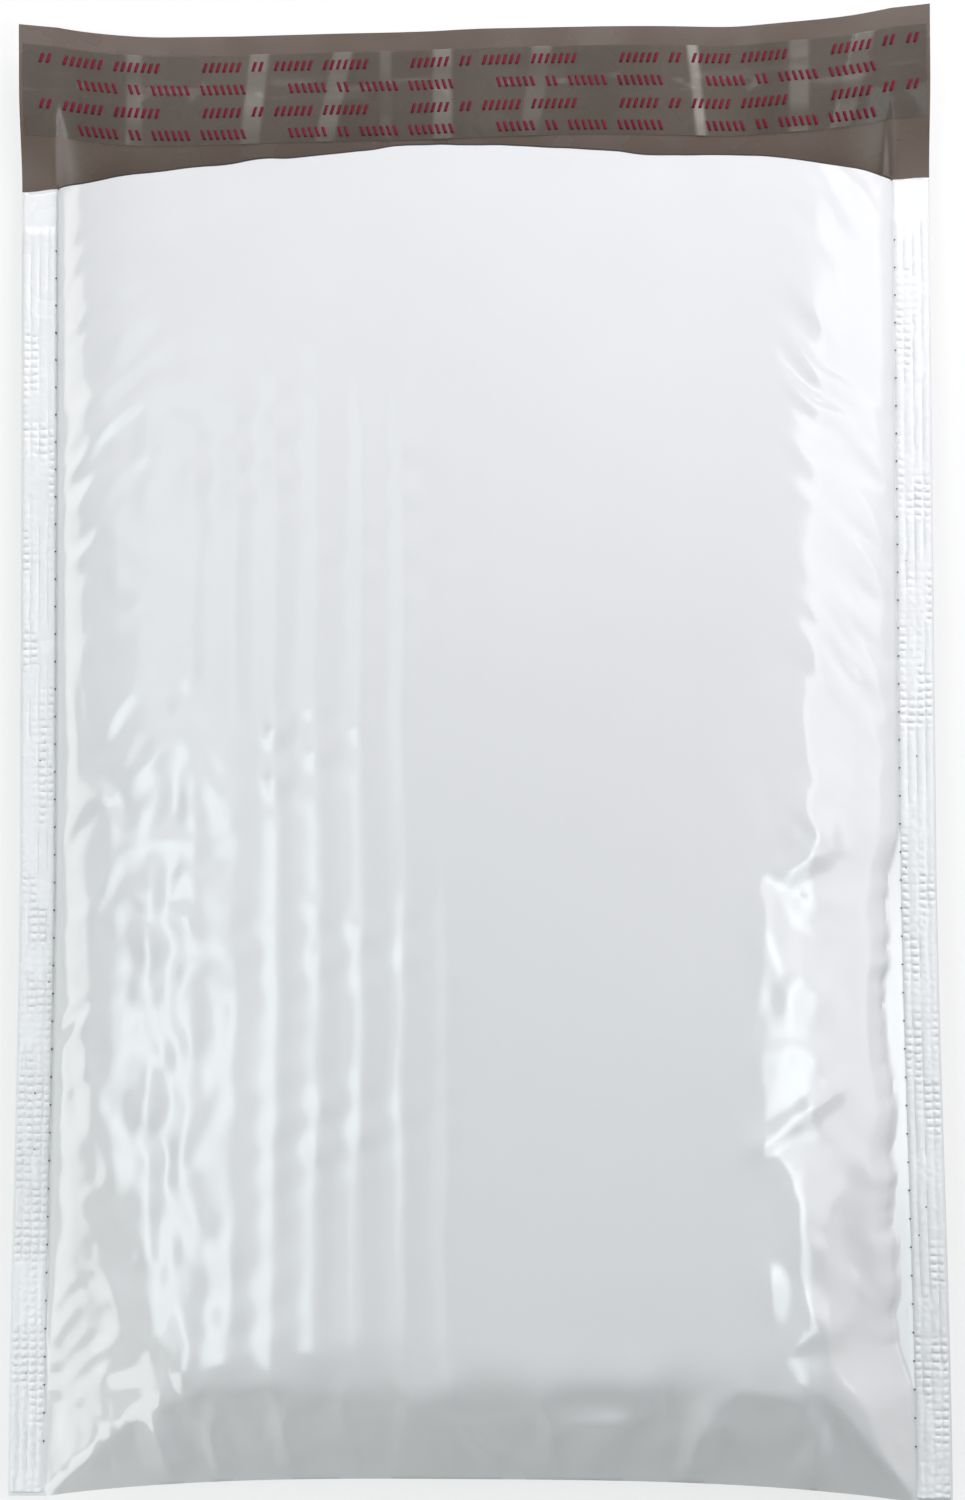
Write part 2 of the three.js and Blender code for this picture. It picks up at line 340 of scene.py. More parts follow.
def bubble_relief(x, y):
    """Single bubbles that show through between and beside the ribs."""
    shift_x, shift_y = 1.5 * noise(x / 18, y / 18, 23), 2.5 * noise(x / 20, y / 20, 22)
    patchy = clamp(0.5 + 1.1 * noise(x / 16, y / 24, 21), 0.12, 1.25)
    reach = window(x, *BUBBLE_REACH) * window(y, *BUBBLE_REACH_ALONG)
    return BUBBLE_PRINT * reach * bubble_pattern(x + shift_x, y + shift_y) * patchy


def left_waves(x, y):
    """Slack, flowing waves between the left seal and the ribs."""
    flow_x = x + 3.5 * noise(x / 12, y / 13, 31)
    flow_y = y + 6 * noise(x / 12, y / 15, 32)
    waves = noise(flow_x / 7, flow_y / 13, 33) + 0.45 * noise(flow_x / 4.5, flow_y / 6.5, 34)
    waves = waves + 0.16 * noise(flow_x / 2.6, flow_y / 3.8, 41)
    reach = window(x, *LEFT_REACH) * (1 - 0.75 * smooth(y, -20, 90))
    return LEFT_WAVES * reach * waves


def right_ridge(x, y):
    """The panel stays flat out to an uneven edge and then turns down."""
    edge = np.interp(y + 2 * noise(x / 8, y / 11, 39), *zip(*RIDGE_EDGE))
    edge = edge + 1.6 * noise(y / 8, y * 0, 40)
    kept = RIDGE_SLOPE * clamp(x - RIDGE_START, 0, edge - RIDGE_START)
    return kept * (1 - smooth(x, edge, RIDGE_FOOT)) * (1 - 0.7 * smooth(y, -45, 45))


def slanted_fold(x, y):
    middle = SLANT_START[1] + SLANT_LEAN * (x - SLANT_START[0]) + 2.5 * noise(x / 9, x * 0, 38)
    return SLANT_HEIGHT * bell(y, middle, SLANT_WIDTH) * window(x, *SLANT_REACH)


def right_waves(x, y):
    """A few waves and one slanted fold in the film along that edge."""
    flow_x = x + 2.2 * noise(x / 12, y / 17, 35)
    waves = noise(flow_x / 8, y / 15 + flow_x / 40, 36) + 0.4 * noise(flow_x / 4.6, y / 7, 37)
    reach = window(x, *RIGHT_REACH) * (1 - 0.8 * smooth(y, -30, 40))
    return RIGHT_WAVES * reach * waves + slanted_fold(x, y) + right_ridge(x, y)


def pucker_relief(x, y):
    """Short slanted creases that run down from the panel to the side seals."""
    inward = pocket_half_width(y) - np.abs(x)
    side = np.sign(x)
    slant = y + 0.9 * np.abs(x) + 4 * noise(x / 14, y / 18 + side * 9, 41)
    crest = noise(slant / 4.2, inward / 22 + side * 7, 42) + 0.5 * ridged(slant / 8, inward / 30, 44)
    patchy = clamp(0.45 + noise(inward / 30 + side * 5, y / 26, 43), 0.1, 1)
    strength = lerp(*PUCKERS, smooth(-y, 0, 110)) * (1 - 0.7 * smooth(y, 95, 135))
    return strength * window(inward, *PUCKER_REACH) * crest * patchy


def seam_relief(x, y):
    """Small gathers beside both seals, and the slight slope of the ledge beside the right one."""
    inward = pocket_half_width(y) - np.abs(x)
    gathers = noise(y / 3.2, np.sign(x) * 5, 45) * bell(inward, 2.6, 2)
    width = ledge(x, y)
    raised = LEDGE_SLOPE * clamp(inward, 0, width) * (1 - smooth(inward, width + 2, width + 14))
    return GATHERS * gathers * (1 - smooth(width, 1, 3)) + raised


def fold_relief(x, y):
    """Pleats, dents and creases where the front panel comes down to the bottom fold."""
    up = (y - fold_line(x)) / END_SLOPE
    lean = 9 * up * (0.7 + 1.3 * noise(x / 34, up * 0 + 0.5, 57))
    fan = x - lean + 2.5 * noise(x / 11, up * 2, 55)
    pleats = noise(fan / 9, up * 1.3, 51) + ridged(fan / 15, up * 1.2 + fan / 26, 52) - 0.4
    pleats = np.maximum(pleats, -0.45)  # deeper ones would reach the lining
    dents = noise(fan / 14, up * 1.6 + 4, 53) + 0.9 * ridged(fan / 16 + up, up * 2.2, 54) - 0.6
    creases = clamp(ridged(fan / 12 + 0.5 * up, up * 2.6 - fan / 40, 58) - 0.3, 0, 1)
    relief = PLEATS * window(up, *PLEAT_REACH) * pleats + DENTS * window(up, *DENT_REACH) * dents
    relief = relief + CREASES * window(up, *CREASE_REACH) * creases
    return (0.3 + 0.7 * window(x, *CALM_HIPS)) * relief


def hip_relief(x, y):
    """The crease that runs from the right corner of the fold up to the panel."""
    along = (y - HIP_FOOT_Y) / HIP_LENGTH
    off = (x - lerp(*HIP_PLACE, along)) * 0.8 - 0.5 * noise(along * 3, along * 0, 56)
    return (0.9 * bell(off, 0, 1.5) - 0.5 * bell(off, -4, 3)) * window(along, 0.12, 0.98, 0.12)


def broad_relief(x, y):
    """Soft swells of the whole panel."""
    return PANEL_SWELLS * layered(x / 70, y / 80, 61, 2)


def mouth_relief(x, y):
    """A soft crease from the left corner of the mouth, and a slightly rolled edge."""
    along = (x + 96) / 52
    crease = bell(y, lerp(134, 147, along), 3.5) * window(along, 0.1, 0.95, 0.2)
    edge = mouth_line(x) - y
    waves = noise(x / 12, edge / 20, 72) * bell(edge, 0, 9)
    return MOUTH_CREASE * crease + MOUTH_WAVES * waves * smooth(rise(x, y), 0.3, 0.8)


def film_relief(x, y):
    """All of it; each kind starts at its own share of the rise from the seals and the fold."""
    raised = rise(x, y)
    panel = smooth(raised, 0.8, 1)
    relief = panel * (column_relief(x, y) + bubble_relief(x, y) + broad_relief(x, y))
    relief = relief + smooth(raised, 0.3, 0.7) * (left_waves(x, y) + right_waves(x, y))
    relief = relief + smooth(raised, 0.05, 0.3) * (pucker_relief(x, y) + mouth_relief(x, y))
    relief = relief + smooth(raised, 0, 0.2) * (fold_relief(x, y) + hip_relief(x, y))
    return relief + seam_relief(x, y)


def film_level(x, y):
    return front_level(x, y) + film_relief(x, y)


def lip_wave(x, y):
    """Slack waves of the lip, which grow toward its free edge."""
    free = smooth(y, SEAL_END_Y, LIP_TOP_Y)
    return LIP_WAVES * free * (1 + layered(x / 24, y / 60, 81, 2))


def print_through(x, y):
    """The back panel lies on its bubbles, and between them the film is a little off the floor."""
    between = (1 - bubble_pattern(x, y)) / 2
    patchy = clamp(0.6 + 0.8 * noise(x / 30, y / 35, 24), 0, 1)
    reach = smooth(rise(x, y), 0.6, 1) * smooth(SEAL_END_Y - y, 4, 20)
    return PRINT_THROUGH * patchy * between * reach


def lip_level(x, y):
    return back_level(x, y) + lip_wave(x, y) + print_through(x, y)


# Meshes
RIM_ANGLE = 55


def mesh_piece(name, points, faces):
    mesh = bpy.data.meshes.new(name)
    mesh.from_pydata(np.asarray(points).reshape(-1, 3) * MM, [], faces)
    mesh.update()
    piece = bpy.data.objects.new(name, mesh)
    bpy.context.collection.objects.link(piece)
    mesh.polygons.foreach_set("use_smooth", np.ones(len(mesh.polygons), bool))
    return piece


def grid_faces(rows, columns, first=0):
    """Faces of a grid whose rows follow one another; they face up where x and y both grow."""
    r, c = np.meshgrid(np.arange(rows - 1), np.arange(columns - 1), indexing="ij")
    a = (first + r * columns + c).ravel()
    return np.stack([a, a + 1, a + columns + 1, a + columns], 1)


def select_only(piece):
    bpy.ops.object.select_all(action="DESELECT")
    piece.select_set(True)
    bpy.context.view_layer.objects.active = piece


def thicken(piece, thickness, offset, **settings):
    """The sheet becomes a closed film; offset is 1 for film on top of the sheet and -1 for below it."""
    select_only(piece)
    modifier = piece.modifiers.new("film", "SOLIDIFY")
    modifier.thickness = thickness * MM
    modifier.offset = offset
    for key, value in settings.items():
        setattr(modifier, key, value)
    bpy.ops.object.modifier_apply(modifier=modifier.name)


def keep_rims_sharp(piece):
    """Thin films keep a crisp edge, so that their faces are not shaded round it."""
    select_only(piece)
    bpy.ops.object.shade_smooth_by_angle(angle=math.radians(RIM_ANGLE))


def even(start, end, step):
    return np.linspace(start, end, int(round((end - start) / step)) + 1)


# Bag film: one web from the edge of the lip, down the back, round the fold and up to the mouth
SIDE_BAND = 16  # beside the seals the columns lie closer
MOUTH_SHADOW_WIDTH = 0.45  # width of the near-black strip along the mouth, a painted shadow line under its edge
MOUTH_SHADOW_SLOT = 2  # place of its material among those of the front panel
FRONT_COLUMNS = (1.15, 0.75, 1.9)  # steps on the panel, beside the seals and on the seals
FRONT_ROWS = 1.65
FRONT_FOLD_ROWS = 21
BACK_COLUMNS = (1.6, 1.2, 1.9)
BACK_ROWS = 2.5
BACK_FOLD_ROWS = 12
LIP_ROWS = 1.6


def column_places(step, side_step, seal_step):
    """Places across the bag: from -1 to 1 between the seals, and beyond them up to 2 on the seals."""
    half = BAG_WIDTH / 2 - SEAL_WIDTH
    middle = even(0, 1 - SIDE_BAND / half, step / half)
    side = even(1 - SIDE_BAND / half, 1, side_step / half)[1:]
    seal = np.linspace(1, 2, int(SEAL_WIDTH / seal_step) + 1)[1:]
    right = np.concatenate([middle, side, seal])
    return np.concatenate([-right[:0:-1], right])


def place_x(places, y):
    inner = clamp(places, -1, 1) * pocket_half_width(y)
    return inner + np.sign(places) * np.maximum(np.abs(places) - 1, 0) * SEAL_WIDTH


def rows_between(columns, start, end, shares):
    """Rows of x and y at the given shares of the way between two lines across the bag."""
    places = columns[None, :]
    x = place_x(places, start(columns * BAG_WIDTH / 2)[None, :] * np.ones((len(shares), 1)))
    y = lerp(start(x), end(x), shares[:, None])
    x = place_x(places, y)
    return x, lerp(start(x), end(x), shares[:, None])


def fold_end(x):
    return fold_line(x) + END_SLOPE


def web(rows):
    """One sheet over rows of places, each with the level that its film lies at."""
    points = np.concatenate([np.stack([x, y, level(x, y)], 2) for (x, y), level in rows])
    return points, grid_faces(*points.shape[:2]).tolist()


def make_front():
    """The front panel, from the bottom fold to the mouth."""
    columns = column_places(*FRONT_COLUMNS)
    length = POCKET_DEPTH - END_SLOPE
    turn = rows_between(columns, fold_line, fold_end, even(0, 1, 1 / FRONT_FOLD_ROWS))
    shares = np.append(even(0, 1 - MOUTH_SHADOW_WIDTH / length, FRONT_ROWS / length), 1)
    panel = rows_between(columns, fold_end, mouth_line, shares[1:])
    first = (turn[0][:1], turn[1][:1])  # the first row is shared with the back panel
    return mesh_piece(
        "front_film",
        *web([(first, back_level), (turn, film_level), (panel, film_level)]),
    )


def paint_mouth_shadow(piece):
    """The white film stops just short of the mouth: its last faces take a near-black finish, a painted
    shadow line under the mouth's edge.
    """
    faces = piece.data.polygons
    centres = np.empty(3 * len(faces))
    faces.foreach_get("center", centres)
    x, y, _ = centres.reshape(-1, 3).T / MM
    layers = np.empty(len(faces), int)
    faces.foreach_get("material_index", layers)
    in_painted_shadow = (y > mouth_line(x) - MOUTH_SHADOW_WIDTH) & (np.abs(x) < pocket_half_width(y))
    faces.foreach_set("material_index", np.where(in_painted_shadow, MOUTH_SHADOW_SLOT, layers))


def make_back():
    """The back panel, from the edge of the lip to the bottom fold."""
    columns = column_places(*BACK_COLUMNS)
    lip = rows_between(columns, lip_line, mouth_line, even(0, 1, LIP_ROWS / LIP_HEIGHT))
    back = rows_between(columns, mouth_line, fold_end, even(0, 1, BACK_ROWS / POCKET_DEPTH)[1:])
    turn = rows_between(columns, fold_end, fold_line, even(0, 1, 1 / BACK_FOLD_ROWS)[1:])
    return mesh_piece("back_film", *web([(k, lip_level) for k in (lip, back, turn)]))


# Finishes: every film has two close colours in soft clouds, an uneven gloss and a fine grain


def add_node(material, kind, **settings):
    """A new node; the settings name its inputs."""
    node = material.node_tree.nodes.new("ShaderNode" + kind)
    for key, value in settings.items():
        node.inputs[key.replace("_", " ")].default_value = value
    return node


def cloud(material, size, detail=2, stretch=(1, 1, 1)):
    """Noise over the piece's own coordinates, with features of about the given size in millimetres."""
    link = material.node_tree.links.new
    place = add_node(material, "TexCoord")
    mapping = add_node(material, "Mapping", Scale=stretch)
    texture = add_node(material, "TexNoise", Scale=0.5 / (size * MM), Detail=detail)
    link(place.outputs["Object"], mapping.inputs["Vector"])
    link(mapping.outputs["Vector"], texture.inputs["Vector"])
    return texture.outputs[0]


def two_tone(material, share, colors):
    ramp = add_node(material, "ValToRGB")
    for stop, place, color in zip(ramp.color_ramp.elements, (0.25, 0.75), colors):
        stop.position = place
        stop.color = (*color, 1)
    material.node_tree.links.new(share, ramp.inputs[0])
    return ramp.outputs["Color"]


def spread(material, share, low, high):
    """Noise keeps near its middle, so that 0.3 to 0.7 of it is spread from low to high."""
    between = add_node(material, "MapRange", From_Min=0.3, From_Max=0.7, To_Min=low, To_Max=high)
    material.node_tree.links.new(share, between.inputs["Value"])
    return between.outputs[0]


def film_finish(name, colors, gloss, cloud_size, grain, stretch=(1, 1, 1), **sockets):
    """gloss is the least and the most roughness, and grain is the size and the depth of the grain."""
    material = bpy.data.materials.new(name)
    material.use_nodes = True
    link = material.node_tree.links.new
    shader = material.node_tree.nodes["Principled BSDF"]
    color = two_tone(material, cloud(material, cloud_size, 3, stretch), colors)
    link(color, shader.inputs["Base Color"])
    roughness = spread(material, cloud(material, cloud_size / 4), *gloss)
    link(roughness, shader.inputs["Roughness"])
    grain_size, grain_depth = grain
    bump = add_node(material, "Bump", Strength=1, Distance=grain_depth * MM)
    link(cloud(material, grain_size, 2, stretch), bump.inputs["Height"])
    link(bump.outputs["Normal"], shader.inputs["Normal"])
    for key, value in sockets.items():
        shader.inputs[key.replace("_", " ")].default_value = value
    return material


def add_highlight_and_drag(material, color, opacity):
    """Where the piece's highlight-and-drag attribute is 1 it has this light colour, mostly a painted
    highlight; opacity is the least and the most.
    """
    link = material.node_tree.links.new
    shader = material.node_tree.nodes["Principled BSDF"]
    highlight_and_drag = add_node(material, "Attribute")
    highlight_and_drag.attribute_name = "highlight_and_drag"
    mix = add_node(material, "MixRGB", Color2=(*color, 1))
    link(highlight_and_drag.outputs["Fac"], mix.inputs["Fac"])
    link(shader.inputs["Base Color"].links[0].from_socket, mix.inputs["Color1"])
    link(mix.outputs["Color"], shader.inputs["Base Color"])
    alpha = add_node(material, "MapRange", To_Min=opacity[0], To_Max=opacity[1])
    link(highlight_and_drag.outputs["Fac"], alpha.inputs["Value"])
    link(alpha.outputs[0], shader.inputs["Alpha"])


white_film = film_finish(
    "white_film",
    colors=((0.72, 0.722, 0.727), (0.745, 0.747, 0.75)),
    gloss=(0.1, 0.15),
    cloud_size=45,
    grain=(2.2, 0.014),
    IOR=1.62,
)
seal_film = film_finish(
    "seal_film",
    colors=((0.78, 0.785, 0.79), (0.84, 0.845, 0.85)),
    gloss=(0.16, 0.34),
    cloud_size=16,
    grain=(0.8, 0.02),
)
grey_film = film_finish(
    "grey_film",
    colors=((0.098, 0.075, 0.059), (0.138, 0.106, 0.086)),
    gloss=(0.2, 0.32),
    cloud_size=26,
    grain=(3, 0.01),
    stretch=(0.25, 1, 1),
)
# Near black: painted shadow for the thin line along the mouth's edge
mouth_shadow_film = film_finish(
    "mouth_shadow_film",
    colors=((0.015, 0.012, 0.01), (0.04, 0.032, 0.028)),
    gloss=(0.4, 0.6),
    cloud_size=12,
    grain=(1, 0.01),
)


def dress(piece, slot, *materials):
    for material in materials:
        piece.data.materials.append(material)
    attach(piece, "root")


front = make_front()
dress(front, "bag_film", white_film, grey_film, mouth_shadow_film)
thicken(front, FILM, -1, material_offset=1)
paint_mouth_shadow(front)
keep_rims_sharp(front)
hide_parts("outer_film")

back = make_back()
dress(back, "bag_film", white_film, grey_film)
thicken(back, FILM, -1, material_offset=1)
keep_rims_sharp(back)
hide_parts("outer_film")


# Side seals: the weld is embossed with lines along the bag and, in patches, across it
EMBOSS_PITCH = 2.3
EMBOSS_STEP = 2.05
EMBOSS = 0.55
EMBOSS_MARGIN = (0.7, 0.8)  # plain film along the outer and the inner edge
EMBOSS_END = 9  # plain film at the mouth
SEAL_LIFT = 0.14
SEAL_LAYER = 0.25
SEAL_RIM_DIP = 0.5  # its borders run into the bag film
SEAL_STEPS = (0.37, 0.38)  # along the bag and across it
PIN_PITCH = 7.2
PIN_RADIUS = 0.24
PIN_CORNERS = 8
PIN_ENDS = (14, 16)  # from the fold to the first and from the last to the end of the seals
PIN_OFFSET = 0.35
PIN_LIFT = 0.34
PIN_THICKNESS = 0.06


def emboss(inward, y, side):
    """Height of the weld's pattern; inward is the distance from the outer edge."""
    weave = 0.25 * noise(inward / 2, y / 4, 107)
    lines = np.cos(math.pi * (inward - 0.2 + weave) / EMBOSS_PITCH) ** 8
    ties = np.cos(math.pi * (y + weave) / EMBOSS_STEP) ** 8
    tied = clamp(0.55 + 2.2 * noise(inward / 9 + side * 9, y / 13, 101), 0, 1)
    worn = clamp(0.8 + 1.3 * noise(inward / 3 + side * 9, y / 9, 102), 0.15, 1)
    band = window(inward, EMBOSS_MARGIN[0], SEAL_WIDTH - EMBOSS_MARGIN[1], 0.3)
    band = band * smooth(SEAL_END_Y - EMBOSS_END - y, 0, 3)
    grooves = worn * np.maximum(lines, tied * ties)
    small = 0.12 * noise(inward / 0.9, y / 0.9, 103)
    return EMBOSS * band * (1 - grooves + small)


def seal_level(x, y):
    inward = half_width(y) - np.abs(x)
    return seam_level(y) + SEAL_HALF + SEAL_LIFT + emboss(inward, y, np.sign(x))


def make_seals():
    """An embossed layer over each weld, from the outer edge to just inside the pocket's edge."""
    y = even(BOTTOM_Y + 0.8, SEAL_END_Y - 0.4, SEAL_STEPS[0])[:, None]
    inward = even(0.15, SEAL_WIDTH - 0.1, SEAL_STEPS[1])[None, :]
    skins, faces = [], []
    for k, side in enumerate((-1, 1)):
        x = side * (half_width(y) - inward)
        rough_end = y + 0.5 * noise(x / 1.5, x * 0, 104) * smooth(y, SEAL_END_Y - 6, SEAL_END_Y)
        level = seal_level(x, y)
        for rim in (level[0], level[-1], level[:, 0], level[:, -1]):
            rim -= SEAL_RIM_DIP
        skins.append(np.stack([x, rough_end, level], 2))
        sheet = grid_faces(len(y), inward.shape[1], k * x.size)
        faces.append(sheet if side < 0 else sheet[:, ::-1])
    return mesh_piece("side_seals", np.concatenate(skins), np.concatenate(faces).tolist())


def pin_outline():
    bpy.ops.mesh.primitive_circle_add(vertices=PIN_CORNERS, radius=PIN_RADIUS * MM, fill_type="NGON")
    prick = bpy.context.object
    outline = np.array([v.co[:2] for v in prick.data.vertices]) / MM
    bpy.data.objects.remove(prick)
    return outline.T


def make_pins():
    """Pin pricks along the inner edge of each weld, and a few on the weld itself, each a flat dark disc of
    painted shade.
    """
    outline_x, outline_y = pin_outline()
    points, faces = [], []
    for y in even(BOTTOM_Y + PIN_ENDS[0], SEAL_END_Y - PIN_ENDS[1], PIN_PITCH):
        for side in (-1, 1):
            pricks = [(PIN_OFFSET, 0)]
            if noise(y / 5, side * 3.5, 105) > 0.1:
                pricks.append((3.6 + 3 * noise(y / 7, side * 2.5, 106), 3))
            for outward, further in pricks:
                xs = side * (pocket_half_width(y) + outward) + outline_x
                ys = y + further + outline_y
                zs = seam_level(ys) + SEAL_HALF + PIN_LIFT
                faces.append(np.arange(PIN_CORNERS) + PIN_CORNERS * len(points))
                points.append(np.stack([xs, ys, zs], 1))
    return mesh_piece("pin_pricks", np.array(points), np.array(faces).tolist())


seals = make_seals()
dress(seals, "bag_film", seal_film)
thicken(seals, SEAL_LAYER, -1)
keep_rims_sharp(seals)
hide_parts("outer_film")

# Dark discs: painted shade in the pin pricks
prick_shade = film_finish(
    "prick_shade",
    colors=((0.07, 0.07, 0.07), (0.15, 0.15, 0.15)),
    gloss=(0.5, 0.7),
    cloud_size=10,
    grain=(0.5, 0.01),
)
pins = make_pins()
thicken(pins, PIN_THICKNESS, -1)
dress(pins, "bag_film", prick_shade)


# Adhesive and release liner: strips that follow the lip, at even distances from its edge
STRIP_HALF = BAG_WIDTH / 2 - SIDE_PINCH - STRIP_INDENT
STRIP_ROWS = 0.7
ADHESIVE_EDGES = (13.5, 27.5)
ADHESIVE_THICKNESS = 0.12
ADHESIVE_LIFT = 0.06
ADHESIVE_COLUMNS = 0.8
LINER_EDGES = (5, 28.5)
LINER_FILM = 0.06
LINER_LIFT = 0.45
LINER_COLUMNS = 0.6
LIFTED_PATCHES = (  # upright patches where the liner is off the adhesive, with a painted highlight: place, width, strength of the painted highlight and lean
    (-89, 4, 0.4, 0),
    (-57.5, 5, 0.55, -0.12),
    (-36.5, 5, 0.5, -0.22),
    (-23, 3, 0.25, 0),
    (-8, 5, 0.5, 0),
    (16.5, 5, 0.45, -0.15),
    (58.5, 2.6, 1, 0.1),
    (85, 5, 0.5, 0),
    (99, 5, 0.4, -0.25),
)
PATCH_MIDDLE = 16  # a leaning patch is at its place this far from the lip's edge
PATCH_SOFT = 0.7
PATCH_LIFT = 0.16


def formed_strip(name, edges, level, column_step):
    """A strip over the full width of the lip, between two distances from the lip's edge."""
    stations = even(edges[1], edges[0], -STRIP_ROWS)
    columns = even(-1, 1, column_step / STRIP_HALF)
    x = columns[None, :] * STRIP_HALF * np.ones((len(stations), 1))
    y = lip_line(x) - stations[:, None]
    points = np.stack([x, y, level(x, y)], 2)
    return mesh_piece(name, points, grid_faces(*points.shape[:2]).tolist())


def from_lip_edge(x, y):
    return lip_line(x) - y


def patch_shape(x, y, place, width, lean):
    down = from_lip_edge(x, y)
    return window(x - place - lean * (down - PATCH_MIDDLE), -width / 2, width / 2, PATCH_SOFT)


def liner_highlight_and_drag(x, y):
    """Painted highlight, with lighter drag marks: 0 where the liner lies on the adhesive and up to 1 where
    it is off it, uneven down each patch.
    """
    down = from_lip_edge(x, y)
    highlight_and_drag = 0
    for place, width, strength, lean in LIFTED_PATCHES:
        uneven = 0.7 + 0.5 * noise(down / 5 + place, x * 0, 93) + 0.4 * (down < 9.5)
        highlight_and_drag = highlight_and_drag + strength * clamp(uneven, 0.25, 1.2) * patch_shape(x, y, place, width, lean)
    drag = clamp(ridged(x / 16, down / 1.6, 97) - 0.55, 0, 1) * window(down, 12, 17, 1.5)
    return clamp(highlight_and_drag + 0.8 * drag, 0, 1)


def liner_relief(x, y):
    """Upright waves of the liner, which stands a little higher where it is off the adhesive."""
    down = from_lip_edge(x, y)
    waves = 0.07 * noise(x / 5 + 0.01 * down, down / 40, 91) + 0.08 * noise(x / 13, down / 30, 92)
    for place, width, _, lean in LIFTED_PATCHES:
        waves = waves + PATCH_LIFT * patch_shape(x, y, place, width, lean)
    return waves


def adhesive_relief(x, y):
    """Bubbles and drag marks of the adhesive under the liner."""
    down = from_lip_edge(x, y)
    dents = 0.05 * ridged(x / 7, down / 5, 95) + 0.04 * ridged(x / 19, down / 2.2, 96)
    return dents * window(down, ADHESIVE_EDGES[0] + 1, ADHESIVE_EDGES[1] - 1, 1)


def adhesive_level(x, y):
    return lip_level(x, y) + ADHESIVE_LIFT + adhesive_relief(x, y)


def liner_level(x, y):
    return lip_level(x, y) + LINER_LIFT + liner_relief(x, y)


def store_highlight_and_drag(piece):
    places = np.array([v.co for v in piece.data.vertices]) / MM
    highlight_and_drag = piece.data.attributes.new("highlight_and_drag", "FLOAT", "POINT")
    highlight_and_drag.data.foreach_set("value", liner_highlight_and_drag(places[:, 0], places[:, 1]))


clear_liner = film_finish(
    "clear_liner",
    colors=((0.13, 0.112, 0.092), (0.2, 0.172, 0.145)),
    gloss=(0.07, 0.14),
    cloud_size=14,
    grain=(1.6, 0.01),
    stretch=(1, 0.25, 1),
    IOR=1.8,
)
# The light, more opaque patches on the liner are painted highlights
add_highlight_and_drag(clear_liner, (0.42, 0.39, 0.35), (0.3, 0.6))
tacky = film_finish(
    "adhesive",
    colors=((0.12, 0.105, 0.08), (0.18, 0.155, 0.12)),
    gloss=(0.2, 0.4),
    cloud_size=9,
    grain=(1.5, 0.03),
    stretch=(0.35, 1, 1),
    Alpha=0.5,
)
red_ink = film_finish(
    "red_ink",
    colors=((0.115, 0.002, 0.012), (0.175, 0.004, 0.022)),
    gloss=(0.35, 0.5),
    cloud_size=6,
    grain=(0.7, 0.01),
    Specular_IOR_Level=0.2,
)

# Rows of slanted red marks on the liner, in groups with the lengths of four words
PRINT_ROWS = (  # distance from the lip's edge, and shift along it
    (8.3, -48.5),
    (14.2, -26),
    (20.2, -48.5),
    (25.9, -26),
)
PRINT_MARGIN = 2
MARK_HEIGHT = 2.5
MARK_WIDTH = 0.8
MARK_SPACING = 1.75
MARK_SLANT = 0.8
MARK_ROWS = 5
WORD_MARKS = (6, 2, 6, 7)
WORD_GAP = 2.4
GROUPS = np.arange(-3, 4)
GROUP_PITCH = 54.8
INK = 0.03


def word_places():
    places, start = [], 0
    for marks in WORD_MARKS:
        places += [start + k * MARK_SPACING for k in range(marks)]
        start += marks * MARK_SPACING + WORD_GAP
    return np.array(places) - (start - WORD_GAP) / 2


def make_print():
    """Slanted strokes along the liner, each a thin strip that follows the liner's waves."""
    steps = np.linspace(-0.5, 0.5, MARK_ROWS)[:, None]
    points, faces = [], []
    for row, (down, shift) in enumerate(PRINT_ROWS):
        lean = MARK_SLANT * (-1 if row % 2 else 1)
        for place in np.add.outer(GROUPS * GROUP_PITCH + shift, word_places()).ravel():
            if abs(place) > STRIP_HALF - PRINT_MARGIN:
                continue
            x = place + lean * steps + MARK_WIDTH * np.array([[-0.5, 0.5]])
            y = lip_line(x) - down + MARK_HEIGHT * steps
            faces.append(grid_faces(MARK_ROWS, 2, 2 * MARK_ROWS * len(points)))
            points.append(np.stack([x, y, liner_level(x, y) + LINER_FILM + INK], 2))
    return mesh_piece("liner_print", np.array(points), np.concatenate(faces).tolist())


adhesive = formed_strip("adhesive_layer", ADHESIVE_EDGES, adhesive_level, ADHESIVE_COLUMNS)
thicken(adhesive, ADHESIVE_THICKNESS, 1)
keep_rims_sharp(adhesive)
dress(adhesive, "adhesive", tacky)
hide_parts("adhesive_strip")

liner = formed_strip("liner_film", LINER_EDGES, liner_level, LINER_COLUMNS)
store_highlight_and_drag(liner)
thicken(liner, LINER_FILM, 1)
keep_rims_sharp(liner)
dress(liner, "release_film", clear_liner)
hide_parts("release_liner")

ink = make_print()
thicken(ink, INK, 1)
dress(ink, "release_film", red_ink)


# Bubble lining: a folded sheet with domed bubbles toward the film and a flat side toward the contents
LINING_STEP = 2.1
LINING_FOLD_SHARE = 0.04  # beside the fold its rows lie closer
LINING_FOLD_ROWS = 5


def bubble_height(x, y):
    """Domes in a triangular pattern: the nearer of the two lattices of columns counts."""
    domes = 0
    for shift in (0, 0.5):
        dx = (x / (2 * COLUMN_PITCH) - shift + 0.5) % 1 - 0.5
        dy = (y / BUBBLE_PITCH - shift + 0.5) % 1 - 0.5
        r = np.hypot(dx * 2 * COLUMN_PITCH, dy * BUBBLE_PITCH) / BUBBLE_RADIUS
        domes = np.maximum(domes, np.sqrt(clamp(1 - r**2.6, 0, 1)))
    return domes


def lining_end(x):
    return mouth_line(x) - LINING_SETBACK


